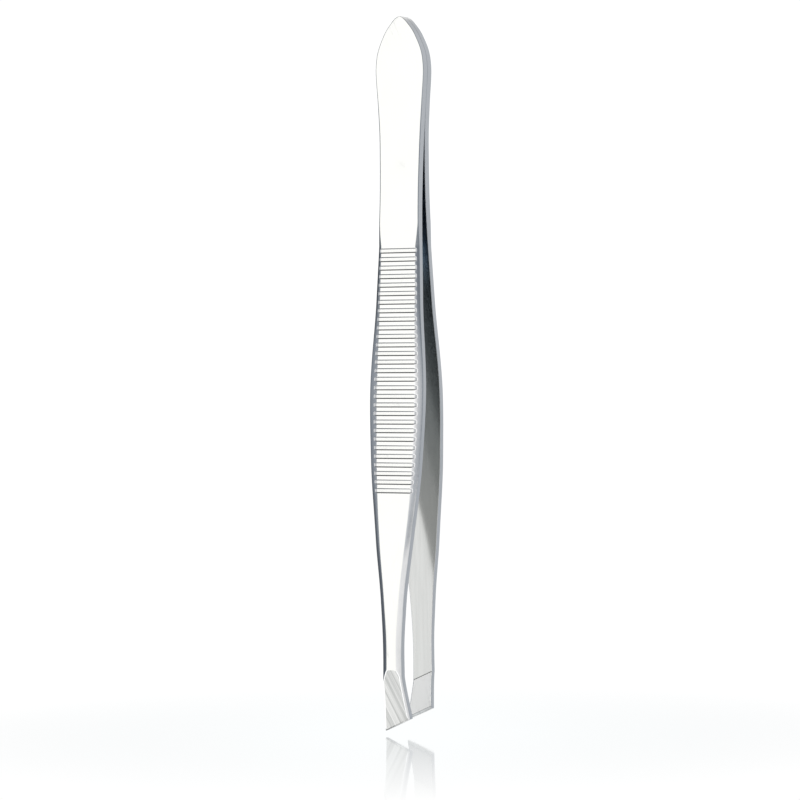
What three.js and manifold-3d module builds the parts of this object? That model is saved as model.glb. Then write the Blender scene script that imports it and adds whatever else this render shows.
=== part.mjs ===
// Slant tweezers: two stamped spring-steel arms, spot-welded face to face at the head.
//
// Frame: millimetres, +Z up. The arms stand along Z, head at the top and slanted jaws at the bottom.
// X runs across the width, Y from the front arm (-Y) to the rear arm (+Y). The origin is the bottom
// centre of the whole object, on the plane between the arms.

import * as THREE from 'three';
import { mergeVertices } from 'three/addons/utils/BufferGeometryUtils.js';
import Module from 'manifold-3d';

const wasm = await Module();
wasm.setup();

// ---------------------------------------------------------------- driving dimensions (mm)

const LENGTH = 95.2;                 // overall, tip corner to crown
const STEEL = 1.13;                  // thickness of each arm
const CROWN_FLAT = 0.25;             // half width of the small flat on top of the rounded head

// Half width of an arm at heights above the tips. The head is a pointed oval, the neck below it is
// nearly straight, the grip swells and the blade tapers to the flared jaw.
const HALF_WIDTHS = [
  [95.2, 0], [94.4, 1.2], [92.7, 2.42], [89.6, 3.55], [88.0, 3.67], [83.8, 3.4], [78.2, 3.1],
  [71.2, 2.98], [57.2, 3.38], [44.8, 4.08], [36.0, 3.75], [25.2, 2.66], [17.2, 1.76], [10.2, 1.43],
  [6.9, 1.46], [0.87, 1.95],
];

// Half of the gap between the arms. They touch above the weld edge and bow apart below it.
const WELD_EDGE_Z = 83.3;
const HALF_GAPS = [
  [83.3, 0], [80.0, 0.06], [76.0, 0.22], [66.0, 0.69], [50.0, 1.6], [38.0, 2.24], [30.0, 2.74],
  [23.0, 3.26], [16.0, 3.56], [9.0, 3.66], [6.9, 3.66],
];

// The jaws bend inwards along a crease that is parallel to the slanted edge.
const SLANT = THREE.MathUtils.degToRad(24);
const SLANT_START_Z = 16;            // above this height the sections lie square to the arm
const CREASE_Z = 6.9;                // height of the crease on the centre line
const CREASE_HALF_GAP = 3.66;
const EDGE_HALF_GAP = 2.45;          // middle plane to the front jaw edge; the rear jaw opens wider
const EDGE_HALF_WIDTH = 1.95;
const REAR_JAW_SHORTER = 0.9;        // the rear jaw is ground this much shorter than the front one

// A flat facet is ground across the outside of each jaw.
const FACET_TOP_Z = 8.4;
const EDGE_THICKNESS = 0.7;          // left at the middle of the front jaw's edge

// Bevels run down both long sides of the outer face, from below the head to the jaw.
const EDGE_BREAK = 0.06;             // broken edge where there is no bevel
const BEVEL_DEPTH = 0.32;
const BEVEL_START_Z = 67.6;
const FLAT_HALF_WIDTHS = [
  [64.6, 2.6], [57.3, 2.64], [44.0, 2.83], [37.0, 2.7], [30.6, 2.41], [25.3, 1.93], [17.3, 1.1],
  [11.0, 0.72], [6.9, 0.75], [0.87, 0.85],
];

// Finger grooves across the outer face of the grip.
const GROOVE_COUNT = 29;
const GROOVE_PITCH = 1.14;
const TOP_GROOVE_Z = 64.0;
const GROOVE_DEPTH = 0.1;
const GROOVE_MOUTH = 0.7;            // width at the face
const GROOVE_FLOOR = 0.38;
const BEVEL_FULL_Z = TOP_GROOVE_Z + GROOVE_PITCH / 2;   // the bevels reach full depth at the grooves

// Each arm bends just below the head. Its stiff upper part and its swinging blade meet at this line.
const FLEX_LINE_Z = 71.6;
const FLEX_GAP = 0.1;

// Two spot-weld nuggets hold the heads together.
const NUGGET_RADIUS = 1.2;
const NUGGET_THICKNESS = 0.9;
const NUGGET_CLEARANCE = 0.1;
const UPPER_NUGGET_Z = 90.0;
const LOWER_NUGGET_Z = 86.2;

const ROW_STEP = 2.0;                // height between two sections of an arm
const CROWN_ROWS = 12;               // sections crowd together towards the crown, above CROWN_END_Z
const CROWN_END_Z = 87.3;
const DISC_SEGMENTS = 24;
const BEYOND = 20;                   // cutting blocks reach this far past the steel
const FRONT = -1;                    // sides of the middle plane, as signs of Y
const REAR = 1;

// ---------------------------------------------------------------- smooth curves through stations

/** A smooth curve through [height, value] stations listed from the top down, without overshoot. */
function curveThrough(stations, place = (z) => z) {
  const points = stations.map(([z, value]) => [place(z), value]).sort((a, b) => a[0] - b[0]);
  const last = points.length - 1;
  const slopes = points.slice(1).map(([s, v], i) => (v - points[i][1]) / (s - points[i][0]));
  const tangents = points.map((point, i) => {
    if (i === 0) return slopes[0];
    if (i === last) return slopes[last - 1];
    const before = slopes[i - 1];
    const after = slopes[i];
    return before * after <= 0 ? 0 : (2 * before * after) / (before + after);
  });
  return (z) => {
    const s = THREE.MathUtils.clamp(place(z), points[0][0], points[last][0]);
    const i = Math.min(last - 1, Math.max(0, points.findIndex((point) => point[0] >= s) - 1));
    const span = points[i + 1][0] - points[i][0];
    const t = (s - points[i][0]) / span;
    const t2 = t * t;
    const t3 = t2 * t;
    return (2 * t3 - 3 * t2 + 1) * points[i][1] + (t3 - 2 * t2 + t) * span * tangents[i]
      + (3 * t2 - 2 * t3) * points[i + 1][1] + (t3 - t2) * span * tangents[i + 1];
  };
}

// Measured from the crown on a square-root scale, so that the head closes as a round curve.
const halfWidthCurve = curveThrough(HALF_WIDTHS, (z) => Math.sqrt(Math.max(0, LENGTH - z)));
const halfGapCurve = curveThrough(HALF_GAPS);
const flatCurve = curveThrough(FLAT_HALF_WIDTHS);

const EDGE_Z = EDGE_HALF_WIDTH * Math.tan(SLANT);   // the long corner of the front jaw is at z = 0

/** How far a section rises per millimetre of width: level on the grip, slanted in the jaw. */
function slantAt(z) {
  return Math.tan(SLANT) * (1 - THREE.MathUtils.smoothstep(z, CREASE_Z + 1.5, SLANT_START_Z));
}

function halfGapAt(z) {
  if (z >= WELD_EDGE_Z) return 0;
  if (z >= CREASE_Z) return halfGapCurve(z);
  return THREE.MathUtils.mapLinear(z, CREASE_Z, EDGE_Z, CREASE_HALF_GAP, EDGE_HALF_GAP);
}

/** The section of an arm at height z, as distances from the middle plane and half widths. */
function sectionAt(z) {
  const half = Math.max(CROWN_FLAT, halfWidthCurve(z));
  const inner = halfGapAt(z);
  const bevel = THREE.MathUtils.clamp((BEVEL_START_Z - z) / (BEVEL_START_Z - BEVEL_FULL_Z), 0, 1);
  const depth = THREE.MathUtils.lerp(EDGE_BREAK, BEVEL_DEPTH, bevel);
  const fullFlat = half - EDGE_BREAK;
  const flat = THREE.MathUtils.lerp(fullFlat, Math.min(flatCurve(z), fullFlat), bevel);
  const face = inner + STEEL;
  const shoulder = face - depth;
  return { half, flat, inner, face, shoulder };
}

// ---------------------------------------------------------------- solids

function solidFrom(geometry) {
  const bare = geometry.clone();
  for (const name of Object.keys(bare.attributes)) {
    if (name !== 'position') bare.deleteAttribute(name);
  }
  const merged = mergeVertices(bare, 1e-5);
  return new wasm.Manifold(new wasm.Mesh({
    numProp: 3,
    vertProperties: new Float32Array(merged.attributes.position.array),
    triVerts: new Uint32Array(merged.index.array),
  }));
}

function geometryFrom(solid) {
  const mesh = solid.getMesh();
  const geometry = new THREE.BufferGeometry();
  geometry.setAttribute('position', new THREE.BufferAttribute(mesh.vertProperties, 3));
  geometry.setIndex(new THREE.BufferAttribute(mesh.triVerts, 1));
  const faceted = geometry.toNonIndexed();
  faceted.computeVertexNormals();
  return faceted;
}

/** Heights of the sections, from the crown down to the jaw's edge. */
function sectionHeights(edgeZ) {
  const heights = [];
  for (let i = 0; i <= CROWN_ROWS; i += 1) {
    heights.push(LENGTH - (LENGTH - CROWN_END_Z) * (i / CROWN_ROWS) ** 2);
  }
  for (let z = CROWN_END_Z - ROW_STEP; z > BEVEL_START_Z + 1; z -= ROW_STEP) heights.push(z);
  // On the grip the sections fall in the middle of a land, two grooves apart.
  for (let i = 0; i <= GROOVE_COUNT; i += 2) heights.push(BEVEL_FULL_Z - i * GROOVE_PITCH);
  const gripEnd = BEVEL_FULL_Z - GROOVE_COUNT * GROOVE_PITCH;
  for (let z = gripEnd; z > CREASE_Z + 1; z -= ROW_STEP) heights.push(z);
  heights.push(WELD_EDGE_Z, BEVEL_START_Z, CREASE_Z, edgeZ);
  return [...new Set(heights)].sort((a, b) => b - a);
}

/** One whole arm as a skin of bevelled sections, closed by a crown cap and a jaw-edge cap. */
function armSkin(side) {
  const edgeZ = side === REAR ? EDGE_Z + REAR_JAW_SHORTER : EDGE_Z;
  const rows = sectionHeights(edgeZ).map((z) => {
    const { half, flat, inner, face, shoulder } = sectionAt(z);
    const corners = [
      [-half, inner], [half, inner], [half, shoulder], [flat, face], [-flat, face], [-half, shoulder],
    ];
    return corners.map(([x, y]) => [x, side * y, z + x * slantAt(z)]);
  });
  const count = rows[0].length;
  const triangles = [];
  for (let r = 0; r + 1 < rows.length; r += 1) {
    for (let c = 0; c < count; c += 1) {
      const next = (c + 1) % count;
      const a = r * count + c;
      const b = r * count + next;
      const d = (r + 1) * count + c;
      const e = (r + 1) * count + next;
      triangles.push([a, b, d], [b, e, d]);
    }
  }
  const base = (rows.length - 1) * count;
  for (let c = 1; c + 1 < count; c += 1) {
    triangles.push([0, c + 1, c], [base, base + c, base + c + 1]);
  }
  const wound = side === FRONT ? triangles : triangles.map(([a, b, c]) => [a, c, b]);
  const geometry = new THREE.BufferGeometry();
  geometry.setAttribute('position', new THREE.Float32BufferAttribute(rows.flat(2), 3));
  geometry.setIndex(wound.flat());
  return geometry;
}

/** One finger groove: a flat-bottomed channel with sloping walls, laid across the outer face. */
function grooveCutter(side, z) {
  const floor = GROOVE_FLOOR / 2;
  const clear = 0.2;                 // the walls run on at the same slope above the face
  const top = floor + (GROOVE_MOUTH - GROOVE_FLOOR) / 2 * (1 + clear / GROOVE_DEPTH);
  const channel = new THREE.Shape([
    new THREE.Vector2(-floor, -GROOVE_DEPTH), new THREE.Vector2(floor, -GROOVE_DEPTH),
    new THREE.Vector2(top, clear), new THREE.Vector2(-top, clear),
  ]);
  const cutter = new THREE.ExtrudeGeometry(channel, { depth: 2 * BEYOND, bevelEnabled: false });
  const up = new THREE.Vector3(0, side * (sectionAt(z + 1).face - sectionAt(z - 1).face), 2).normalize();
  const across = new THREE.Vector3(-side, 0, 0);
  const out = new THREE.Vector3().crossVectors(across, up);
  const seat = new THREE.Matrix4().makeBasis(up, out, across);
  seat.setPosition(side * BEYOND, side * sectionAt(z).face, z);
  return cutter.applyMatrix4(seat);
}

/** All that lies outside the ground facet of a jaw. */
function facetCutter(side) {
  const edgeY = EDGE_HALF_GAP + EDGE_THICKNESS;
  const tilt = Math.atan2(CREASE_HALF_GAP + STEEL - edgeY, FACET_TOP_Z - EDGE_Z);
  const block = new THREE.BoxGeometry(BEYOND, BEYOND, 2 * BEYOND).translate(0, side * BEYOND / 2, 0);
  return block.rotateX(-side * tilt).translate(0, side * edgeY, EDGE_Z);
}

function nuggetGeometry(radius, thickness, z) {
  return new THREE.CylinderGeometry(radius, radius, thickness, DISC_SEGMENTS).translate(0, 0, z);
}

function slab(bottom, top) {
  return new THREE.BoxGeometry(BEYOND, BEYOND, top - bottom).translate(0, 0, (top + bottom) / 2);
}

/** An arm with facet, grooves and weld pockets, parted at the flex line into head and blade. */
function makeArm(side) {
  let arm = solidFrom(armSkin(side)).subtract(solidFrom(facetCutter(side)));
  for (let i = 0; i < GROOVE_COUNT; i += 1) {
    arm = arm.subtract(solidFrom(grooveCutter(side, TOP_GROOVE_Z - i * GROOVE_PITCH)));
  }
  for (const z of [UPPER_NUGGET_Z, LOWER_NUGGET_Z]) {
    arm = arm.subtract(solidFrom(nuggetGeometry(NUGGET_RADIUS + NUGGET_CLEARANCE, NUGGET_THICKNESS, z)));
  }
  const above = slab(FLEX_LINE_Z + FLEX_GAP / 2, LENGTH + BEYOND);
  const below = slab(-BEYOND, FLEX_LINE_Z - FLEX_GAP / 2);
  return {
    head: geometryFrom(arm.intersect(solidFrom(above))),
    blade: geometryFrom(arm.intersect(solidFrom(below))),
  };
}

// ---------------------------------------------------------------- materials and assembly

const polishedSteel = new THREE.MeshStandardMaterial({ color: 0xe6e8ea, roughness: 0.16, metalness: 1 });
const weldSteel = new THREE.MeshStandardMaterial({ color: 0xa9acb0, roughness: 0.5, metalness: 1 });

function named(name, geometry, material) {
  const mesh = new THREE.Mesh(geometry, material);
  mesh.name = name;
  return mesh;
}

const tweezers = new THREE.Group();
for (const [name, side] of [['front_arm', FRONT], ['rear_arm', REAR]]) {
  const { head, blade } = makeArm(side);
  const arm = new THREE.Group();
  arm.add(named(`${name}_head`, head, polishedSteel));
  arm.add(named(`${name}_blade`, blade, polishedSteel));
  tweezers.add(arm);
}
for (const [name, z] of [['upper_weld_nugget', UPPER_NUGGET_Z], ['lower_weld_nugget', LOWER_NUGGET_Z]]) {
  tweezers.add(named(name, nuggetGeometry(NUGGET_RADIUS, NUGGET_THICKNESS, z), weldSteel));
}

export default tweezers;
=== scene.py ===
# %% [markdown]
# # Slant tweezers
# The object is two spring-steel arms, stamped from strip, spot-welded face to face at the head and
# bowed apart below it. Each arm has a broad ribbed grip, bevelled edges, a slender blade and a jaw
# that is ground to a slanted edge. Every arm is built as a flat, straight blank first, as in the
# press shop, and a Geometry Nodes tree then presses its finger grooves and bows it.

import math
import bpy
import bmesh
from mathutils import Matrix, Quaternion, Vector


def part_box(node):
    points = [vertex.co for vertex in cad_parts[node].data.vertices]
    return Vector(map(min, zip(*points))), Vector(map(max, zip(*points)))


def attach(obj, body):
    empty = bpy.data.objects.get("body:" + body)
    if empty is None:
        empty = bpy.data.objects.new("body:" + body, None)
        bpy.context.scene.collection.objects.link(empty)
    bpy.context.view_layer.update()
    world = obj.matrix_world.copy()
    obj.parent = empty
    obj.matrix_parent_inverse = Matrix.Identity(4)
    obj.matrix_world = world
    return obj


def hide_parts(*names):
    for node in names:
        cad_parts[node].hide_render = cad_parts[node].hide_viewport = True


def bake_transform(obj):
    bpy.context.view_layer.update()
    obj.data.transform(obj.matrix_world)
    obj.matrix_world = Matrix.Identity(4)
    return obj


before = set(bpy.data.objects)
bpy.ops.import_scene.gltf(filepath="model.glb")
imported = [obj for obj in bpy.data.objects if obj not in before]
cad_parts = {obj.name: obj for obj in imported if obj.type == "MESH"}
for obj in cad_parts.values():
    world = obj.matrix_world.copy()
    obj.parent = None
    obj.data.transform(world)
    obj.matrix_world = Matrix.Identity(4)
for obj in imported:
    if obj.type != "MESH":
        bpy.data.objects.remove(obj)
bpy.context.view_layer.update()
MM = 0.001

# %% [markdown]
# ## Sizes
# All sizes are in millimetres and are the same as in the CAD model, so the skins lie on the solids.
# The height runs from the tip of the front jaw (0) to the crown of the head.

# %% Sizes of one arm
LENGTH = 95.2
STEEL = 1.13
CROWN_FLAT = 0.25
CROWN_END_Z = 87.3
HALF_WIDTHS = [(95.2, 0), (94.4, 1.2), (92.7, 2.42), (89.6, 3.55), (88.0, 3.67), (83.8, 3.4),
               (78.2, 3.1), (71.2, 2.98), (57.2, 3.38), (44.8, 4.08), (36.0, 3.75), (25.2, 2.66),
               (17.2, 1.76), (10.2, 1.43), (6.9, 1.46), (0.87, 1.95)]
WELD_EDGE_Z = 83.3
HALF_GAPS = [(83.3, 0), (80.0, 0.06), (76.0, 0.22), (66.0, 0.69), (50.0, 1.6), (38.0, 2.24),
             (30.0, 2.74), (23.0, 3.26), (16.0, 3.56), (9.0, 3.66), (6.9, 3.66)]
SLANT = math.radians(24)
SLANT_START_Z = 16
CREASE_Z = 6.9
CREASE_HALF_GAP = 3.66
EDGE_HALF_GAP = 2.45
EDGE_HALF_WIDTH = 1.95
EDGE_Z = EDGE_HALF_WIDTH * math.tan(SLANT)
REAR_JAW_SHORTER = 0.9
FACET_TOP_Z = 8.4
EDGE_THICKNESS = 0.7
EDGE_BREAK = 0.06
BEVEL_DEPTH = 0.32
BEVEL_START_Z = 67.6
FLAT_HALF_WIDTHS = [(64.6, 2.6), (57.3, 2.64), (44.0, 2.83), (37.0, 2.7), (30.6, 2.41),
                    (25.3, 1.93), (17.3, 1.1), (11.0, 0.72), (6.9, 0.75), (0.87, 0.85)]
GROOVE_COUNT = 29
GROOVE_PITCH = 1.14
TOP_GROOVE_Z = 64.0
GROOVE_DEPTH = 0.1
GROOVE_MOUTH = 0.7
GROOVE_FLOOR = 0.38
BEVEL_FULL_Z = TOP_GROOVE_Z + GROOVE_PITCH / 2
GRIP_END_Z = BEVEL_FULL_Z - GROOVE_COUNT * GROOVE_PITCH
FRONT, REAR = -1, 1

# Softness that a tumbled and polished stamping has and the CAD solid leaves out.
CORNER_RADIUS = 0.055       # long edges
BEVEL_CONVEXITY = 0.5       # 0 is a flat bevel, 1 a fully rounded one
NECK_CROWN = 0.03           # how much lower the face is at its edges, above the grip
BLADE_CROWN = 0.1           # the same near the jaw
BLADE_CROWN_FADE = (12, 26) # heights between which that fades out
NECK_BREAK = (0.055, 0.12)  # depth and width of the broken edge along the neck
HEAD_BREAK = (0.035, 0.07)  # the same round the head
BREAK_FADE = (80, 87)       # heights between which the neck's edge turns into the head's
END_RADIUS = 0.05           # rim of the crown and of the jaw's edge
FACET_PAINTED_HIGHLIGHT = 0.11            # painted highlight round the ground facet: a flat strip of polished steel, this wide
ARCH_FOOT = 0.35            # the painted highlight stops this far above the gripping edge
LIP_HEIGHT = 0.38           # ground strip along the gripping edge of a jaw
LIP_DEPTH = 0.04
CREASE_STEP = 0.015         # the ground pad lies this much deeper than the inner face above it
CREASE_RUN = 0.06           # height over which the pad's step is taken
print("grip runs from", round(BEVEL_FULL_Z, 2), "down to", round(GRIP_END_Z, 2))

# %% [markdown]
# ## Smooth curves through stations
# The outline and the bow of an arm are each a list of stations. A cubic goes through them without
# overshoot: its slope at a station is the harmonic mean of the slopes on both sides, and level
# where the outline turns. A plain spline would bulge between the stations.


# %% Curves
def blend_steps(value, low, high):
    """0 below low, 1 above high, and an even S in between."""
    t = min(1.0, max(0.0, (value - low) / (high - low)))
    return t * t * (3 - 2 * t)


def mix(a, b, t):
    return a + (b - a) * t


def straight(z, z0, z1, a, b):
    return a + (b - a) * (z - z0) / (z1 - z0)


def curve_through(stations, place=lambda z: z):
    """A smooth function of height through (height, value) stations."""
    points = sorted((place(z), value) for z, value in stations)
    last = len(points) - 1
    slopes = [(points[i + 1][1] - points[i][1]) / (points[i + 1][0] - points[i][0])
              for i in range(last)]
    tangents = [slopes[0]]
    for before, after in zip(slopes, slopes[1:]):
        tangents.append(0 if before * after <= 0 else 2 * before * after / (before + after))
    tangents.append(slopes[-1])

    def value_at(z):
        s = min(points[last][0], max(points[0][0], place(z)))
        i = next((k for k in range(last) if s <= points[k + 1][0]), last - 1)
        span = points[i + 1][0] - points[i][0]
        t = (s - points[i][0]) / span
        t2, t3 = t * t, t * t * t
        return ((2 * t3 - 3 * t2 + 1) * points[i][1] + (t3 - 2 * t2 + t) * span * tangents[i]
                + (3 * t2 - 2 * t3) * points[i + 1][1] + (t3 - t2) * span * tangents[i + 1])

    return value_at


half_width_at = curve_through(HALF_WIDTHS, lambda z: math.sqrt(max(0.0, LENGTH - z)))
bow_at = curve_through(HALF_GAPS)
flat_at = curve_through(FLAT_HALF_WIDTHS)


def half_gap_at(z):
    """Distance of an arm's inner face from the middle plane."""
    if z >= WELD_EDGE_Z:
        return 0.0
    if z >= CREASE_Z:
        return bow_at(z)
    return straight(z, CREASE_Z, EDGE_Z, CREASE_HALF_GAP, EDGE_HALF_GAP)


def lean_at(z):
    """Rise of a cross-section per millimetre of width: level on the grip, slanted in the jaw."""
    return math.tan(SLANT) * (1 - blend_steps(z, CREASE_Z + 1.5, SLANT_START_Z))


print("widest", round(2 * half_width_at(44.8), 2), "mm, gap at the crease",
      round(2 * half_gap_at(CREASE_Z), 2), "mm")

# %% [markdown]
# ## Cross-section of the blank
# A section is drawn with its inner face on level 0 and its outer face on level 1.13. Going round
# the right half: inner face, rounded corner, side, rounded shoulder, gently convex bevel, outer
# face. A pair of points close to each corner keeps smooth shading on the flats flat. The bevel also
# has a point exactly where a groove's floor runs out on it, so that the grooves end cleanly.

# %% Section of the blank
CORNER_STEPS = 4
SUPPORT = 0.05
INNER_STOPS = (0.2, 0.4, 0.6, 0.8)
FACE_STOPS = (0.85, 0.7, 0.56, 0.42, 0.28, 0.14)
run_out = GROOVE_DEPTH / BEVEL_DEPTH
BEVEL_STOPS = (0.8, 0.62, run_out + 0.05, run_out, run_out - 0.05, 0.25, 0.12, 0.04)


def rounded(before, corner, after, radius):
    """Points of a small round in place of a corner."""
    to_a = (Vector(before) - Vector(corner))
    to_b = (Vector(after) - Vector(corner))
    turn = math.pi - to_a.angle(to_b)
    reach = min(radius * math.tan(turn / 2), 0.4 * to_a.length, 0.4 * to_b.length)
    a = Vector(corner) + to_a.normalized() * reach
    b = Vector(corner) + to_b.normalized() * reach
    out = []
    for i in range(CORNER_STEPS):
        t = i / (CORNER_STEPS - 1)
        out.append(tuple(a * (1 - t) ** 2 + Vector(corner) * 2 * t * (1 - t) + b * t * t))
    return out


def bevel_share(fall):
    """How far out on the bevel (0 to 1) the surface has fallen by that share of its depth."""
    c = BEVEL_CONVEXITY
    return (-(1 - c) + math.sqrt((1 - c) ** 2 + 4 * c * fall)) / (2 * c)


def outer_shape(z):
    """Half width, half width of the flat, depth of the bevel, and how far the bevel has begun."""
    half = max(CROWN_FLAT, half_width_at(z))
    bevel = min(1.0, max(0.0, (BEVEL_START_Z - z) / (BEVEL_START_Z - BEVEL_FULL_Z)))
    fine = blend_steps(z, *BREAK_FADE)
    break_depth = mix(NECK_BREAK[0], HEAD_BREAK[0], fine)
    break_width = min(mix(NECK_BREAK[1], HEAD_BREAK[1], fine), 0.3 * half)
    depth = mix(break_depth, BEVEL_DEPTH, bevel)
    full_flat = half - mix(break_width, EDGE_BREAK, bevel)
    flat = mix(full_flat, min(flat_at(z), full_flat), bevel)
    return half, flat, depth, bevel


def right_half(z, edge_z):
    """[(x, level, zone)] from the middle of the inner face round to the middle of the outer one."""
    half, flat, depth, bevel = outer_shape(z)
    slope = [(flat + (half - flat) * bevel_share(f), STEEL - depth * f) for f in BEVEL_STOPS]
    shoulder = STEEL - depth
    points = [(0, 0, "inner")]
    points += [(half * s, 0, "inner") for s in INNER_STOPS]
    foot = rounded((0, 0), (half, 0), (half, shoulder), CORNER_RADIUS)
    points += [(max(half * 0.85, foot[0][0] - SUPPORT), 0, "inner")]
    points += [(x, y, "edge") for x, y in foot]
    brow = rounded((half, 0), (half, shoulder), slope[0], CORNER_RADIUS)
    points += [(half, mix(foot[-1][1], brow[0][1], s), "side") for s in (0.1, 0.5, 0.9)]
    points += [(x, y, "edge") for x, y in brow]
    points += [(x, y, "bevel") for x, y in slope]
    points += [(flat, STEEL, "lip"), (max(flat * 0.93, flat - SUPPORT), STEEL, "face")]
    points += [(flat * s, STEEL, "face") for s in FACE_STOPS] + [(0, STEEL, "face")]
    crown = NECK_CROWN * (1 - bevel) + BLADE_CROWN * (1 - blend_steps(z, *BLADE_CROWN_FADE))
    sunk = CREASE_STEP * min(1.0, max(0.0, (CREASE_Z - z) / CREASE_RUN))
    sunk += LIP_DEPTH * min(1.0, max(0.0, (edge_z + LIP_HEIGHT - z) / LIP_HEIGHT))
    return [(x, sunk + y - (sunk + crown * (x / half) ** 2) * (y / STEEL), zone)
            for x, y, zone in points]


print("points per section", 2 * len(right_half(50, EDGE_Z)) - 2)

# %% [markdown]
# ## The blank as a mesh
# Sections are stacked from the crown to the jaw's edge. Over the grip each groove gets twenty of
# them, close together at its lips and walls and wide apart on the lands. Each point keeps what the
# press needs (its half gap and lean) and which part of the surface it lies on, for the finishes, as
# named attributes.

# %% Heights of the sections
CROWN_ROWS = 30
GROOVE_ROWS = (0.0, 0.1, 0.165, 0.19, 0.215, 0.27, 0.325, 0.35, 0.375, 0.46)
END_STEPS = (0.0, 0.35, 0.7, 1.0)


def row_heights(edge_z):
    heights = [LENGTH - END_RADIUS - (LENGTH - END_RADIUS - CROWN_END_Z) * (i / CROWN_ROWS) ** 2
               for i in range(CROWN_ROWS + 1)]
    z = 86.5
    while z > BEVEL_START_Z + 0.3:
        heights.append(z)
        z -= 0.8
    heights += [mix(BEVEL_START_Z, BEVEL_FULL_Z, i / 12) for i in range(13)]
    for i in range(GROOVE_COUNT):
        centre = TOP_GROOVE_Z - i * GROOVE_PITCH
        heights += [centre + d for d in GROOVE_ROWS] + [centre - d for d in GROOVE_ROWS]
        heights.append(centre - GROOVE_PITCH / 2)
    z = GRIP_END_Z - 0.5
    while z > edge_z + 0.4:
        heights.append(z)
        z -= 0.6 if z > FACET_TOP_Z + 1.5 else 0.3
    heights += [CREASE_Z + i * CREASE_RUN for i in (-2, -1, 0, 1)] + [edge_z + END_RADIUS]
    heights += [edge_z + LIP_HEIGHT + d for d in (-0.05, 0.0, 0.05)]
    return sorted({round(z, 4) for z in heights}, reverse=True)


print("sections", len(row_heights(EDGE_Z)))


# %% Build a blank
def inset_rows(edge_z):
    """(height, inset) of every section, with a small round at the crown and at the jaw's edge."""
    rows = [(LENGTH - END_RADIUS * (1 - math.sin(s * math.pi / 2)),
             END_RADIUS * (1 - math.cos(s * math.pi / 2)), False) for s in reversed(END_STEPS[1:])]
    rows += [(z, 0.0, False) for z in row_heights(edge_z)]
    rows += [(edge_z + END_RADIUS * (1 - math.sin(s * math.pi / 2)),
              END_RADIUS * (1 - math.cos(s * math.pi / 2)), True) for s in END_STEPS[1:]]
    return rows


def make_blank(name, side, edge_z):
    """A flat, straight arm: inner face on Y 0, outer face towards +Y, height along Z."""
    marks = {"bow": [], "lean": [], "bevel": [], "inner": [], "face": [], "side_wall": [], "edge": [],
             "pad": [], "crease": [], "grip_edge": []}
    points = []
    for z, inset, narrow in inset_rows(edge_z):
        shape = right_half(z, edge_z)
        half = max(x for x, _, _ in shape)
        loop = shape + [(-x, y, zone) for x, y, zone in reversed(shape[1:-1])]
        for x, y, zone in loop:
            if inset:
                y = inset + y * (STEEL - 2 * inset) / STEEL
                x *= (half - inset) / half if narrow else 1
            points.append((x * MM, y * MM, z * MM))
            marks["bow"].append(half_gap_at(z) * MM)
            marks["lean"].append(lean_at(z))
            marks["bevel"].append(float(zone == "bevel" and BEVEL_START_Z > z))
            marks["inner"].append(float(zone == "inner"))
            marks["face"].append(float(zone in ("face", "lip")))
            marks["side_wall"].append(float(zone == "side"))
            marks["edge"].append(1.0 if zone == "edge" or inset else 0.6 * (zone == "lip"))
            marks["pad"].append(float(zone == "inner" and z < CREASE_Z))
            at_crease = -CREASE_RUN - 0.001 < z - CREASE_Z < 0.001
            at_lip = abs(z - edge_z - LIP_HEIGHT) < 0.01
            marks["crease"].append(float(zone == "inner" and (at_crease or at_lip)))
            marks["grip_edge"].append(float(zone == "inner" and z < edge_z + LIP_HEIGHT))
    per_row = len(loop)
    rows = len(points) // per_row
    faces = []
    for r in range(rows - 1):
        for c in range(per_row):
            a, b = r * per_row + c, r * per_row + (c + 1) % per_row
            quad = (a, a + per_row, b + per_row, b)
            faces.append(quad if side == REAR else quad[::-1])
    crown, jaw = list(range(per_row)), list(range(len(points) - per_row, len(points)))
    faces.append(tuple(crown if side == REAR else crown[::-1]))
    faces.append(tuple(jaw[::-1] if side == REAR else jaw))
    mesh = bpy.data.meshes.new(name)
    mesh.from_pydata(points, [], faces)
    for mark, values in marks.items():
        mesh.attributes.new(mark, "FLOAT", "POINT").data.foreach_set("value", values)
    mesh.validate()
    blank = bpy.data.objects.new(name, mesh)
    bpy.context.scene.collection.objects.link(blank)
    print(name, "sections", rows, "points", len(points), "faces", len(faces))
    return blank


front_blank = make_blank("front_arm_blank", FRONT, EDGE_Z)
rear_blank = make_blank("rear_arm_blank", REAR, EDGE_Z + REAR_JAW_SHORTER)


# %% [markdown]
# ## Node helpers
# Three small helpers keep the node code readable: one sets a node's options and inputs, one adds a
# Math node, and one makes a node group with named sockets.

# %% Helpers for nodes
def node(tree, kind, inputs=None, **settings):
    """Adds a node; inputs maps a socket's name or number to a value or to another socket."""
    made = tree.nodes.new(kind)
    for key, value in settings.items():
        setattr(made, key, value)
    for key, value in (inputs or {}).items():
        if isinstance(value, bpy.types.NodeSocket):
            tree.links.new(value, made.inputs[key])
        else:
            made.inputs[key].default_value = value
    return made


def maths(tree, operation, *values, clamp=False):
    """A Math node's result."""
    return node(tree, "ShaderNodeMath", dict(enumerate(values)), operation=operation,
                use_clamp=clamp).outputs[0]


def new_group(name, kind, inputs, outputs):
    """A node group with its sockets; inputs and outputs are (name, socket kind, default)."""
    group = bpy.data.node_groups.new(name, kind)
    for direction, sockets in (("INPUT", inputs), ("OUTPUT", outputs)):
        for label, socket_kind, default in sockets:
            socket = group.interface.new_socket(label, in_out=direction, socket_type=socket_kind)
            if default is not None:
                socket.default_value = default
    return group, group.nodes.new("NodeGroupInput").outputs, group.nodes.new("NodeGroupOutput").inputs


FLOAT, VECTOR = "NodeSocketFloat", "NodeSocketVector"

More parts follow.
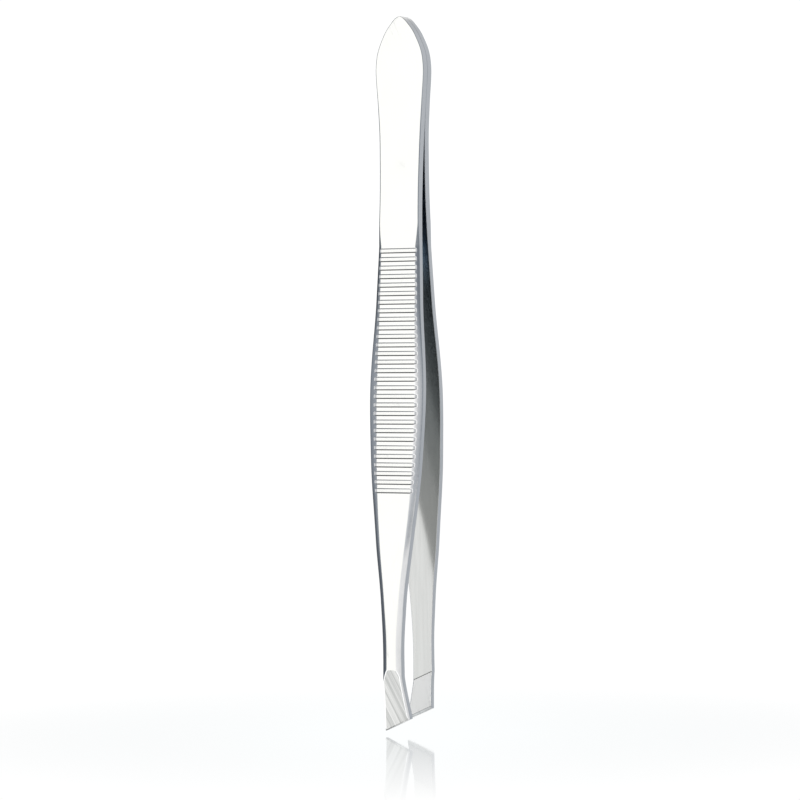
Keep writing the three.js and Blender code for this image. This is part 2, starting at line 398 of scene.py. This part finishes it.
# %% [markdown]
# ## Polishing grain
# Polished stamped steel is never a perfect mirror. The wheel leaves very fine lines along the arm.
# Noise stretched in one direction gives such lines at any scale, and unlike an image it doesn't
# repeat. One group serves every finish, with its own direction and fineness.

# %% Group: polishing grain
grain_group, g_in, g_out = new_group(
    "polishing_grain", "ShaderNodeTree",
    [("Position", VECTOR, None), ("Turn", FLOAT, 0.0), ("Fineness", FLOAT, 9000.0),
     ("Stretch", FLOAT, 30.0), ("Through Share", FLOAT, 1.0)],
    [("Grain", FLOAT, None), ("Streaks", FLOAT, None)])
turned = node(grain_group, "ShaderNodeVectorRotate",
              {"Vector": g_in["Position"], "Angle": g_in["Turn"], "Axis": (0, 1, 0)},
              rotation_type="AXIS_ANGLE")
along = maths(grain_group, "DIVIDE", g_in["Fineness"], g_in["Stretch"])
through = maths(grain_group, "MULTIPLY", g_in["Fineness"], g_in["Through Share"])
scale = node(grain_group, "ShaderNodeCombineXYZ", {0: g_in["Fineness"], 1: through, 2: along})
lines = node(grain_group, "ShaderNodeVectorMath", {0: turned.outputs[0], 1: scale.outputs[0]},
             operation="MULTIPLY")
fine = node(grain_group, "ShaderNodeTexNoise",
            {"Vector": lines.outputs[0], "Scale": 1.0, "Detail": 3.0, "Roughness": 0.6})
half_scale = node(grain_group, "ShaderNodeVectorMath", {0: lines.outputs[0], "Scale": 0.3},
                  operation="SCALE")
broad = node(grain_group, "ShaderNodeTexNoise",
             {"Vector": half_scale.outputs[0], "Scale": 1.0, "Detail": 2.0})
grain_group.links.new(fine.outputs[0], g_out["Grain"])
streak_ramp = node(grain_group, "ShaderNodeMapRange",
                   {"Value": broad.outputs[0], "From Min": 0.38, "From Max": 0.66})
grain_group.links.new(streak_ramp.outputs[0], g_out["Streaks"])
print("group", grain_group.name)

# %% [markdown]
# ## Hairline scratches and handling haze
# Tweezers get hairlines from being laid down and a faint haze from fingers. Hairlines are the thin
# ridges of a stretched noise, kept where the noise is near its middle value. Haze is a slow, soft
# noise that changes how sharp the reflections are, and dulls the edges and bevels a little.

# %% Group: hairlines and haze
wear_group, w_in, w_out = new_group(
    "hairlines_and_haze", "ShaderNodeTree",
    [("Position", VECTOR, None), ("Hairline Width", FLOAT, 0.012), ("Haze Size", FLOAT, 160.0)],
    [("Hairlines", FLOAT, None), ("Haze", FLOAT, None)])
layers = []
for tilt, size in ((0.35, 700.0), (-0.6, 520.0)):
    tilted = node(wear_group, "ShaderNodeVectorRotate",
                  {"Vector": w_in["Position"], "Angle": tilt, "Axis": (0, 1, 0)},
                  rotation_type="AXIS_ANGLE")
    squeezed = node(wear_group, "ShaderNodeVectorMath",
                    {0: tilted.outputs[0], 1: (size, size, size * 0.06)}, operation="MULTIPLY")
    ridge = node(wear_group, "ShaderNodeTexNoise",
                 {"Vector": squeezed.outputs[0], "Scale": 1.0, "Detail": 1.0, "Distortion": 0.4})
    off = maths(wear_group, "ABSOLUTE", maths(wear_group, "SUBTRACT", ridge.outputs[0], 0.5))
    line = node(wear_group, "ShaderNodeMapRange",
                {"Value": off, "From Min": 0.0, "From Max": w_in["Hairline Width"],
                 "To Min": 1.0, "To Max": 0.0})
    layers.append(line.outputs[0])
broken = node(wear_group, "ShaderNodeTexNoise",
              {"Vector": w_in["Position"], "Scale": 420.0, "Detail": 2.0})
patch = node(wear_group, "ShaderNodeMapRange",
             {"Value": broken.outputs[0], "From Min": 0.52, "From Max": 0.68})
both = maths(wear_group, "MAXIMUM", layers[0], layers[1])
wear_group.links.new(maths(wear_group, "MULTIPLY", both, patch.outputs[0]), w_out["Hairlines"])
haze = node(wear_group, "ShaderNodeTexNoise",
            {"Vector": w_in["Position"], "Scale": w_in["Haze Size"], "Detail": 4.0,
             "Roughness": 0.55})
haze_ramp = node(wear_group, "ShaderNodeMapRange",
                 {"Value": haze.outputs[0], "From Min": 0.35, "From Max": 0.7})
wear_group.links.new(haze_ramp.outputs[0], w_out["Haze"])
print("group", wear_group.name)


# %% [markdown]
# ## Polished steel
# One material covers an arm, because it is one strip of steel, apart from the facet ground on the
# outside of its jaw. The named attributes say where the bevels, the grooves, the inner face and the
# ground pad inside the jaw are. The bevels are satin with a fine mottle, and the pad shows straight
# lines from the grinding wheel. The groove walls and the inner face carry painted reflections: the
# walls are painted dark, and the inner face is painted darker on the blade and under the grip and
# bright and bluish near the head, in place of what those faces would mirror. A nearly black line
# along the pad's crease and along the top of the gripping lip is painted shade.

# %% Material: polished steel
def mark(tree, name):
    return node(tree, "ShaderNodeAttribute", attribute_name=name).outputs["Fac"]


def weigh(tree, base, target, mask):
    """base where the mask is 0, target where it is 1."""
    return node(tree, "ShaderNodeMix", {"Factor": mask, "A": base, "B": target},
                data_type="FLOAT").outputs[0]


def tint(tree, base, target, mask):
    """The base colour where the mask is 0, the target colour where it is 1."""
    return node(tree, "ShaderNodeMix", {0: mask, 6: base, 7: target}, data_type="RGBA").outputs[2]


steel = bpy.data.materials.new("polished_steel_skin")
steel.use_nodes = True
tree = steel.node_tree
skin = tree.nodes["Principled BSDF"]
place = node(tree, "ShaderNodeTexCoord").outputs["Object"]
bevel, pad = mark(tree, "bevel"), mark(tree, "pad")
side_wall, edge, groove = mark(tree, "side_wall"), mark(tree, "edge"), mark(tree, "groove")
inner, crease, grip_edge = mark(tree, "inner"), mark(tree, "crease"), mark(tree, "grip_edge")
face = mark(tree, "face")
groove_wall = maths(tree, "MULTIPLY", maths(tree, "MULTIPLY", groove, 4.0),
                    maths(tree, "SUBTRACT", 1.0, groove))
polish = tree.nodes.new("ShaderNodeGroup")
polish.node_tree = grain_group
tree.links.new(place, polish.inputs["Position"])
polish.inputs["Fineness"].default_value = 9000.0
polish.inputs["Stretch"].default_value = 40.0
grind = tree.nodes.new("ShaderNodeGroup")
grind.node_tree = grain_group
tree.links.new(place, grind.inputs["Position"])
grind.inputs["Turn"].default_value = SLANT
grind.inputs["Fineness"].default_value = 7000.0
grind.inputs["Stretch"].default_value = 60.0
grind.inputs["Through Share"].default_value = 0.02
marks_of_use = tree.nodes.new("ShaderNodeGroup")
marks_of_use.node_tree = wear_group
tree.links.new(place, marks_of_use.inputs["Position"])
mottle = node(tree, "ShaderNodeTexNoise",
              {"Vector": place, "Scale": 2600.0, "Detail": 4.0, "Roughness": 0.65}).outputs[0]
rough = maths(tree, "MULTIPLY_ADD", marks_of_use.outputs["Haze"], 0.05, 0.11)
rough = maths(tree, "MULTIPLY_ADD", marks_of_use.outputs["Hairlines"], 0.12, rough)
rough = weigh(tree, rough, 0.2, side_wall)
rough = weigh(tree, rough, maths(tree, "MULTIPLY_ADD", mottle, 0.14, 0.1), bevel)
rough = weigh(tree, rough, 0.14, inner)
rough = weigh(tree, rough, maths(tree, "MULTIPLY_ADD", grind.outputs["Streaks"], 0.1, 0.28), pad)
rough = maths(tree, "MULTIPLY_ADD", edge, 0.06, rough)
rough = maths(tree, "MULTIPLY_ADD", groove, 0.05, rough, clamp=True)
tree.links.new(rough, skin.inputs["Roughness"])

BRIGHT, HAZED = (0.885, 0.885, 0.885, 1), (0.85, 0.853, 0.86, 1)
# The groove wall tone below is a painted reflection: dark, in place of the dim ceiling the walls would
# mirror.
FACE_TONE, GROOVE_WALL_PAINTED_REFLECTION = (0.765, 0.765, 0.742, 1), (0.36, 0.37, 0.38, 1)
# The inner face's tones below are painted reflections: darker on the blade and under the grip, bright and
# bluish near the head.
BLADE_PAINTED_REFLECTION, UNDER_GRIP_PAINTED_SHADE = (0.545, 0.552, 0.542, 1), (0.475, 0.495, 0.505, 1)
NEAR_HEAD_PAINTED_REFLECTION = (0.82, 0.9, 0.98, 1)
# The crease's tone on the next line is painted shade: a nearly black line along the pad's crease and the
# lip's top.
PAD_TONE, LIP_TONE, CREASE_PAINTED_SHADE = (1.0, 0.99, 0.96, 1), (0.6, 0.62, 0.62, 1), (0.12, 0.12, 0.12, 1)
STREAK_LOW, STREAK_HIGH = (0.95, 0.95, 0.95, 1), (1.0, 1.0, 1.0, 1)
# Heights over which the inner face's painted reflections change.
UNDER_GRIP_FADE, NEAR_HEAD_FADE = (28, 56), (58, 66)    # heights
tone = tint(tree, BRIGHT, HAZED, marks_of_use.outputs["Haze"])
tone = tint(tree, tone, FACE_TONE, face)
# Painted reflection: the groove walls are painted dark.
tone = tint(tree, tone, GROOVE_WALL_PAINTED_REFLECTION, groove_wall)
height = node(tree, "ShaderNodeSeparateXYZ", {0: place}).outputs["Z"]
under_grip, near_head = (
    node(tree, "ShaderNodeMapRange", {"Value": height, "From Min": start * MM,
                                      "From Max": end * MM}).outputs[0]
    for start, end in (UNDER_GRIP_FADE, NEAR_HEAD_FADE))
# Painted reflection and shade on the inner face: darker under the grip than on the blade.
inside = tint(tree, BLADE_PAINTED_REFLECTION, UNDER_GRIP_PAINTED_SHADE, under_grip)
brushed = tint(tree, STREAK_LOW, STREAK_HIGH, polish.outputs["Streaks"])
inside = node(tree, "ShaderNodeMix", {0: 1.0, 6: inside, 7: brushed}, data_type="RGBA",
              blend_type="MULTIPLY").outputs[2]
# Painted reflection: the inner face turns bright and bluish near the head.
tone = tint(tree, tone, tint(tree, inside, NEAR_HEAD_PAINTED_REFLECTION, near_head), inner)
tone = tint(tree, tone, PAD_TONE, pad)
tone = tint(tree, tone, LIP_TONE, grip_edge)
# Painted shade: a nearly black line along the pad's crease and the lip's top.
tone = tint(tree, tone, CREASE_PAINTED_SHADE, crease)
tree.links.new(tone, skin.inputs["Base Color"])
skin.inputs["Metallic"].default_value = 1.0
relief = weigh(tree, maths(tree, "MULTIPLY", polish.outputs["Grain"], 0.25),
               maths(tree, "MULTIPLY", mottle, 1.6), bevel)
relief = weigh(tree, relief, maths(tree, "MULTIPLY", grind.outputs["Grain"], 0.6), pad)
relief = maths(tree, "MULTIPLY_ADD", marks_of_use.outputs["Hairlines"], -0.25, relief)
bump = node(tree, "ShaderNodeBump", {"Height": relief, "Distance": 0.0000012, "Strength": 1.0})
tree.links.new(bump.outputs[0], skin.inputs["Normal"])
print("material", steel.name, "nodes", len(tree.nodes))

# %% [markdown]
# ## Ground facet
# The outside of each jaw is ground flat on a wheel, square to the slanted edge. The wheel leaves
# bright streaks in a greyer ground, so here the grain changes the colour and the roughness as well
# as the relief. It is the same group as before, turned by the slant and drawn into longer lines.

# %% Material: ground facet
WHEEL_DARK, WHEEL_BRIGHT = (0.39, 0.398, 0.39, 1), (0.82, 0.82, 0.806, 1)
ground_facet = bpy.data.materials.new("ground_facet_steel")
ground_facet.use_nodes = True
tree = ground_facet.node_tree
facet = tree.nodes["Principled BSDF"]
place = node(tree, "ShaderNodeTexCoord").outputs["Object"]
wheel = tree.nodes.new("ShaderNodeGroup")
wheel.node_tree = grain_group
tree.links.new(place, wheel.inputs["Position"])
wheel.inputs["Turn"].default_value = SLANT
wheel.inputs["Fineness"].default_value = 8000.0
wheel.inputs["Stretch"].default_value = 110.0
wheel.inputs["Through Share"].default_value = 0.02
wheel_mix = maths(tree, "MULTIPLY_ADD", wheel.outputs["Grain"], 0.9,
                  maths(tree, "MULTIPLY_ADD", wheel.outputs["Streaks"], 0.5, -0.3), clamp=True)
wheel_tone = tint(tree, WHEEL_DARK, WHEEL_BRIGHT, wheel_mix)
tree.links.new(wheel_tone, facet.inputs["Base Color"])
facet.inputs["Metallic"].default_value = 1.0
wheel_rough = maths(tree, "MULTIPLY_ADD", wheel.outputs["Grain"], 0.2, 0.12)
tree.links.new(wheel_rough, facet.inputs["Roughness"])
facet_bump = node(tree, "ShaderNodeBump", {"Height": wheel.outputs["Grain"], "Distance": 0.000003})
tree.links.new(facet_bump.outputs[0], facet.inputs["Normal"])
print("material", ground_facet.name)

# %% [markdown]
# ## Press the grooves and bow the arm
# On the real arm a press tool strikes 29 shallow grooves across the grip and bends the strip. The
# tree below does the same to the blank. For each point it finds the nearest groove, lowers the
# surface to the groove's sloping wall or floor where it stands higher, then moves the point out by
# the bow and tips it by the lean of the slanted jaw. A rule is better here than 29 cutters, because
# the skin stays one clean sheet.

# %% Geometry Nodes: press and bow
GEOMETRY = "NodeSocketGeometry"
press, p_in, p_out = new_group(
    "press_and_bow", "GeometryNodeTree",
    [("Blank", GEOMETRY, None), ("Side", FLOAT, 1.0), ("Groove Count", FLOAT, 1.0),
     ("Groove Pitch", FLOAT, 0.001), ("Top Groove Height", FLOAT, 0.0), ("Groove Mouth", FLOAT, 0.0),
     ("Groove Floor", FLOAT, 0.0), ("Groove Depth", FLOAT, 0.0), ("Face Level", FLOAT, 0.0),
     ("Steel", "NodeSocketMaterial", None)],
    [("Arm", GEOMETRY, None)])
press.is_modifier = True


def stored(name):
    return node(press, "GeometryNodeInputNamedAttribute", {"Name": name},
                data_type="FLOAT").outputs["Attribute"]


at = node(press, "ShaderNodeSeparateXYZ",
          {0: node(press, "GeometryNodeInputPosition").outputs[0]}).outputs
steps = maths(press, "DIVIDE", maths(press, "SUBTRACT", p_in["Top Groove Height"], at["Z"]),
              p_in["Groove Pitch"])
nearest = maths(press, "MAXIMUM", maths(press, "ROUND", steps), 0.0)
nearest = maths(press, "MINIMUM", nearest, maths(press, "SUBTRACT", p_in["Groove Count"], 1.0))
away = maths(press, "MULTIPLY", maths(press, "ABSOLUTE", maths(press, "SUBTRACT", steps, nearest)),
             p_in["Groove Pitch"])
wall = node(press, "ShaderNodeMapRange",
            {"Value": away, "From Min": maths(press, "MULTIPLY", p_in["Groove Floor"], 0.5),
             "From Max": maths(press, "MULTIPLY", p_in["Groove Mouth"], 0.5),
             "To Min": 1.0, "To Max": 0.0}).outputs[0]
floor_level = maths(press, "SUBTRACT", p_in["Face Level"],
                    maths(press, "MULTIPLY", wall, p_in["Groove Depth"]))
lowered = maths(press, "MINIMUM", at["Y"], floor_level)
depth_share = maths(press, "DIVIDE", maths(press, "SUBTRACT", at["Y"], lowered), p_in["Groove Depth"])
out_y = maths(press, "MULTIPLY", maths(press, "ADD", stored("bow"), lowered), p_in["Side"])
out_z = maths(press, "MULTIPLY_ADD", at["X"], stored("lean"), at["Z"])
marked = node(press, "GeometryNodeStoreNamedAttribute",
              {"Geometry": p_in["Blank"], "Name": "groove", "Value": depth_share},
              data_type="FLOAT", domain="POINT")
moved = node(press, "GeometryNodeSetPosition",
             {"Geometry": marked.outputs[0],
              "Position": node(press, "ShaderNodeCombineXYZ", {0: at["X"], 1: out_y, 2: out_z}).outputs[0]})
smooth = node(press, "GeometryNodeSetShadeSmooth", {"Geometry": moved.outputs[0]})
whole = node(press, "GeometryNodeRealizeInstances", {"Geometry": smooth.outputs[0]})
finished = node(press, "GeometryNodeSetMaterial", {"Geometry": whole.outputs[0], "Material": p_in["Steel"]})
press.links.new(finished.outputs[0], p_out["Arm"])
print("tree", press.name, "nodes", len(press.nodes))


# %% [markdown]
# ## Run each blank through the press
# The modifier's inputs are set by their identifiers. The evaluated result becomes a plain mesh, and
# the blank goes. The grinding wheel comes last: a flat cut takes the outside off the jaw, and the
# new face closes the skin with sharp edges.


def grind_facet(shell, side):
    """Cuts the jaw's outside flat and closes the cut with one face in the second material."""
    low = Vector((0, side * (EDGE_HALF_GAP + EDGE_THICKNESS) * MM, EDGE_Z * MM))
    high = Vector((0, side * (CREASE_HALF_GAP + STEEL) * MM, FACET_TOP_Z * MM))
    along = (high - low).normalized()
    outward = Vector((0, side * along.z, -side * along.y))
    everything = shell.verts[:] + shell.edges[:] + shell.faces[:]
    cut = bmesh.ops.bisect_plane(shell, geom=everything, dist=1e-8, plane_co=low, plane_no=outward,
                                 clear_outer=True)
    rim = [e for e in cut["geom_cut"] if isinstance(e, bmesh.types.BMEdge)]
    facet_face = bmesh.ops.contextual_create(shell, geom=rim)["faces"][0]
    facet_face.normal_update()
    if facet_face.normal.dot(outward) < 0:
        facet_face.normal_flip()
    facet_face.material_index = 1
    print("facet area (mm2)", round(facet_face.calc_area() / MM ** 2, 1), "sides", len(rim))
    # The strip round the facet stays flat; on the arch it takes the polished steel as a painted highlight,
    # lower down it keeps the ground finish.
    border = bmesh.ops.inset_region(shell, faces=[facet_face], thickness=FACET_PAINTED_HIGHLIGHT * MM,
                                    use_even_offset=True)["faces"]
    for strip in border:
        at = strip.calc_center_median()
        on_arch = at.z - math.tan(SLANT) * at.x > (EDGE_Z + ARCH_FOOT) * MM
        strip.material_index = 0 if on_arch else 1
    for flat in border + [facet_face]:
        flat.smooth = False


def press_arm(blank, side, name):
    modifier = blank.modifiers.new("press", "NODES")
    modifier.node_group = press
    settings = {"Side": float(side), "Groove Count": float(GROOVE_COUNT),
                "Groove Pitch": GROOVE_PITCH * MM, "Top Groove Height": TOP_GROOVE_Z * MM,
                "Groove Mouth": GROOVE_MOUTH * MM, "Groove Floor": GROOVE_FLOOR * MM,
                "Groove Depth": GROOVE_DEPTH * MM, "Face Level": STEEL * MM, "Steel": steel}
    for item in press.interface.items_tree:
        if item.in_out == "INPUT" and item.name in settings:
            modifier[item.identifier] = settings[item.name]
    bpy.context.view_layer.update()
    evaluated = blank.evaluated_get(bpy.context.evaluated_depsgraph_get())
    mesh = bpy.data.meshes.new_from_object(evaluated)
    mesh.name = name
    blank.modifiers.clear()
    bpy.data.objects.remove(blank, do_unlink=True)
    arm = bpy.data.objects.new(name, mesh)
    bpy.context.scene.collection.objects.link(arm)
    mesh.materials.append(ground_facet)
    shell = bmesh.new()
    shell.from_mesh(mesh)
    grind_facet(shell, side)
    shell.to_mesh(mesh)
    volume = shell.calc_volume(signed=True) / MM ** 3
    print(name, "faces", len(mesh.polygons), "volume (mm3)", round(volume, 1),
          "open edges", sum(not e.is_manifold for e in shell.edges))
    shell.free()
    return arm


front_arm = press_arm(front_blank, FRONT, "front_arm_skin")
rear_arm = press_arm(rear_blank, REAR, "rear_arm_skin")
for arm, body in ((front_arm, "front_arm"), (rear_arm, "rear_arm")):
    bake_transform(arm)
    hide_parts(f"{body}_head", f"{body}_blade")

# %% [markdown]
# ## Weld nuggets
# Two spot welds are taken to join the heads. A nugget is a lens of steel that melted between the
# sheets, so it is thickest in the middle and has faint ripples from cooling. It is sealed inside,
# but a cut or an x-ray view would show it.

# %% Material: weld steel
weld = bpy.data.materials.new("weld_steel_core")
weld.use_nodes = True
tree = weld.node_tree
core = tree.nodes["Principled BSDF"]
place = node(tree, "ShaderNodeTexCoord").outputs["Object"]
cast = tree.nodes.new("ShaderNodeGroup")
cast.node_tree = grain_group
tree.links.new(place, cast.inputs["Position"])
cast.inputs["Fineness"].default_value = 5000.0
cast.inputs["Stretch"].default_value = 1.5
stain = tree.nodes.new("ShaderNodeGroup")
stain.node_tree = wear_group
tree.links.new(place, stain.inputs["Position"])
stain.inputs["Haze Size"].default_value = 900.0
CORE_GREY, CORE_STRAW = (0.42, 0.43, 0.45, 1), (0.5, 0.44, 0.36, 1)
weld_tone = tint(tree, CORE_GREY, CORE_STRAW, stain.outputs["Haze"])
tree.links.new(weld_tone, core.inputs["Base Color"])
core.inputs["Metallic"].default_value = 1.0
tree.links.new(maths(tree, "MULTIPLY_ADD", cast.outputs["Grain"], 0.25, 0.38), core.inputs["Roughness"])
weld_bump = node(tree, "ShaderNodeBump", {"Height": cast.outputs["Grain"], "Distance": 0.00001})
tree.links.new(weld_bump.outputs[0], core.inputs["Normal"])
print("material", weld.name)

# %% Weld nuggets
NUGGET_SPOKES, NUGGET_RINGS = 48, 14


def make_nugget(node_name):
    """A rippled lens that fills the pocket of the CAD nugget of that name."""
    low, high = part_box(node_name)
    centre = (Vector(low) + Vector(high)) / 2
    radius, thick = (high[0] - low[0]) / 2, (high[1] - low[1]) / 2
    shell = bmesh.new()
    rings = []
    for side in (1, -1):
        pole = shell.verts.new(centre + Vector((0, side * thick, 0)))
        rows = []
        for k in range(1, NUGGET_RINGS + (side > 0)):
            share = k / NUGGET_RINGS
            ripple = 1 + 0.015 * math.cos(share * 22)
            level = side * thick * math.sqrt(max(0.0, 1 - share ** 2)) ** 0.8 * ripple * 0.98
            rows.append([shell.verts.new(centre + Vector((
                radius * share * math.cos(2 * math.pi * j / NUGGET_SPOKES), level,
                radius * share * math.sin(2 * math.pi * j / NUGGET_SPOKES))))
                for j in range(NUGGET_SPOKES)])
        rings.append((pole, rows))
    (top, upper), (bottom, lower) = rings
    for pole, rows in ((top, upper), (bottom, lower + [upper[-1]])):
        for j in range(NUGGET_SPOKES):
            shell.faces.new((pole, rows[0][j], rows[0][(j + 1) % NUGGET_SPOKES]))
        for a, b in zip(rows, rows[1:]):
            for j in range(NUGGET_SPOKES):
                n = (j + 1) % NUGGET_SPOKES
                shell.faces.new((a[j], b[j], b[n], a[n]))
    bmesh.ops.recalc_face_normals(shell, faces=shell.faces)
    mesh = bpy.data.meshes.new(f"{node_name}_lens")
    shell.to_mesh(mesh)
    shell.free()
    for polygon in mesh.polygons:
        polygon.use_smooth = True
    mesh.materials.append(weld)
    lens = bpy.data.objects.new(f"{node_name}_lens", mesh)
    bpy.context.scene.collection.objects.link(lens)
    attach(lens, "head")
    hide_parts(node_name)
    print(lens.name, "faces", len(mesh.polygons))
    return lens


for nugget in ("upper_weld_nugget", "lower_weld_nugget"):
    make_nugget(nugget)

# %% [markdown]
# ## Studio
# Polished steel shows its surroundings, so the light is what gives it its look. The room is a soft
# white tent without lamps, and its walls are not evenly lit: brightest in front on the left and
# behind on the left, dim towards the lens and overhead, and darkest straight to the left. A ramp
# over the compass direction sets the brightness near the horizon, and the height above it fades to
# the dark ceiling. What the lens sees directly stays plain white.

# %% World
ROOM = [(-180, 0.55), (-165, 0.8), (-150, 1.1), (-135, 0.8), (-116, 0.2), (-104, 0.06), (-90, 0.06),
        (-82, 0.12), (-77, 0.19), (-70, 0.26), (-60, 0.34), (-46, 0.36), (-40, 0.42), (-37.5, 1.35),
        (-18, 1.35), (-12, 1.1), (-7, 0.8), (0, 0.6), (9, 0.42), (17, 0.3), (27, 0.2),
        (60, 0.22), (90, 0.3), (120, 0.42), (150, 0.51), (165, 0.54)]
CEILING = 0.2
CEILING_FADE = (26, 50)      # degrees above the horizon
BACKDROP = (0.525, 0.525, 0.525, 1)


def compass_ramp(tree, direction, levels):
    """A colour ramp over the compass direction (0 in front, 90 to the right); dim parts are cooler."""
    way = node(tree, "ShaderNodeSeparateXYZ", {0: direction}).outputs
    angle = maths(tree, "ARCTAN2", way["X"], maths(tree, "MULTIPLY", way["Y"], -1.0))
    ramp = node(tree, "ShaderNodeValToRGB", {0: maths(tree, "MULTIPLY_ADD", angle, 1 / math.tau, 0.5)})
    stops = ramp.color_ramp.elements
    stops.remove(stops[-1])
    for i, (degrees, level) in enumerate(levels + [(180, levels[0][1])]):
        stop = stops[0] if i == 0 else stops.new(degrees / 360 + 0.5)
        stop.position = degrees / 360 + 0.5
        cool = 1 - min(1.0, level / 0.75)
        stop.color = (level / 2 * (1 - 0.15 * cool), level / 2, level / 2 * (1 + 0.2 * cool), 1)
    return ramp.outputs[0], way["Z"]


world = bpy.data.worlds.new("white_tent")
bpy.context.scene.world = world
world.use_nodes = True
tree = world.node_tree
tree.nodes.clear()
wall_color, rise = compass_ramp(tree, node(tree, "ShaderNodeTexCoord").outputs["Generated"], ROOM)
fade_start, fade_end = (math.sin(math.radians(angle)) for angle in CEILING_FADE)
height_share = node(tree, "ShaderNodeMapRange",
                    {"Value": rise, "From Min": fade_start, "From Max": fade_end},
                    interpolation_type="SMOOTHSTEP").outputs[0]
room_color = tint(tree, wall_color, (CEILING / 2,) * 3 + (1,), height_share)
seen = node(tree, "ShaderNodeLightPath").outputs["Is Camera Ray"]
shown = tint(tree, room_color, BACKDROP, seen)
lamp = node(tree, "ShaderNodeBackground", {"Color": shown, "Strength": 2.0})
tree.links.new(lamp.outputs[0], node(tree, "ShaderNodeOutputWorld").inputs[0])
print("world", world.name, "stops", len(ROOM))

# %% [markdown]
# ## Floor
# The tweezers are posed upright, with their tips just clear of a pale, glossy sheet. The sheet
# glows instead of being lit, plain white to the lens and a little less close to the tips, and a
# clear gloss lies over it close to the tips: how much it mirrors follows the Fresnel law, so it is
# strong at a glancing angle and nearly gone from above. What the polished steel sees of the floor is
# a painted pool of light and shade that follows the compass direction, as the walls' light does.

# %% Floor
FLOOR_DROP = 0.45
GLOSS_NEAR, GLOSS_FAR = 15, 75
WHITE_FAR, WHITE_NEAR = (0.51, 0.51, 0.51, 1), (0.458, 0.464, 0.465, 1)
FLOOR_RADIUS = 1.4
FLOOR_LIGHT = [(-180, 0.7), (-165, 0.9), (-150, 1.0), (-135, 0.7), (-115, 0.2), (-100, 0.09),
               (-72, 0.13), (-60, 0.2), (-48, 0.28), (-42, 0.85), (-37, 1.35), (-18, 1.3), (0, 1.0),
               (34, 0.9), (48, 0.5), (70, 0.3), (120, 0.38), (150, 0.46), (165, 0.48)]
paper = bpy.data.materials.new("pale_glossy_sheet")
paper.use_nodes = True
tree = paper.node_tree
tree.nodes.remove(tree.nodes["Principled BSDF"])
seen = node(tree, "ShaderNodeLightPath").outputs["Is Camera Ray"]
where = node(tree, "ShaderNodeTexCoord").outputs["Object"]
# Painted pools of light and shade on the floor by compass direction; the steel sees them, the lens doesn't.
pool, _ = compass_ramp(tree, where, FLOOR_LIGHT)
from_tips = node(tree, "ShaderNodeVectorMath", {0: where}, operation="LENGTH").outputs["Value"]
clear = node(tree, "ShaderNodeMapRange", {"Value": from_tips, "From Min": GLOSS_NEAR * MM,
                                          "From Max": GLOSS_FAR * MM, "To Min": 1.0, "To Max": 0.0})
white = tint(tree, WHITE_FAR, WHITE_NEAR, clear.outputs[0])
glow = node(tree, "ShaderNodeEmission", {"Color": tint(tree, pool, white, seen), "Strength": 2.0})
gloss = node(tree, "ShaderNodeBsdfGlossy", {"Color": (0.96, 0.98, 0.985, 1), "Roughness": 0.055})
fresnel = node(tree, "ShaderNodeFresnel", {"IOR": 1.45}).outputs[0]
mirror = maths(tree, "MULTIPLY", fresnel, clear.outputs[0])
sheet = node(tree, "ShaderNodeMixShader", {0: mirror, 1: glow.outputs[0], 2: gloss.outputs[0]})
tree.links.new(sheet.outputs[0], tree.nodes["Material Output"].inputs["Surface"])
bpy.ops.mesh.primitive_circle_add(vertices=128, radius=FLOOR_RADIUS, fill_type="NGON",
                                  location=(0, 0, -FLOOR_DROP * MM))
ground_sheet = bpy.context.object
ground_sheet.name = "pale_floor"
ground_sheet.data.materials.append(paper)

# %% [markdown]
# ## Camera
# The lens looks almost level at the object from 30 degrees to its right, about half a metre away.
# Lengths are in millimetres. IMAGE_SCALE is how many of the image's units one millimetre spans.

# %% Camera
AZIMUTH = math.radians(30)
DISTANCE = 480
EYE_HEIGHT = 51.8
AIM_HEIGHT = 44.09
AIM_LEFT = 0.88
ROLL = math.radians(0.53)
SENSOR_WIDTH = 36
IMAGE_WIDTH = 800
IMAGE_SCALE = 7.48
lens_object = bpy.data.objects.new("camera", bpy.data.cameras.new("camera"))
bpy.context.scene.collection.objects.link(lens_object)
lens_object.data.sensor_width = SENSOR_WIDTH
lens_object.data.lens = IMAGE_SCALE * DISTANCE * SENSOR_WIDTH / IMAGE_WIDTH
right = Vector((math.cos(AZIMUTH), math.sin(AZIMUTH), 0))
aim = -right * AIM_LEFT * MM + Vector((0, 0, AIM_HEIGHT * MM))
spot = Vector((math.sin(AZIMUTH), -math.cos(AZIMUTH), 0)) * DISTANCE * MM
spot += Vector((0, 0, EYE_HEIGHT * MM)) - right * AIM_LEFT * MM
lens_object.location = spot
lens_object.rotation_mode = "QUATERNION"
lens_object.rotation_quaternion = (aim - spot).to_track_quat("-Z", "Y") @ Quaternion((0, 0, 1), -ROLL)
lens_object.data.clip_start = 0.01
bpy.context.scene.camera = lens_object
bpy.context.scene.view_settings.view_transform = "Standard"
print("lens", round(lens_object.data.lens, 1), "mm at", [round(c, 3) for c in spot])
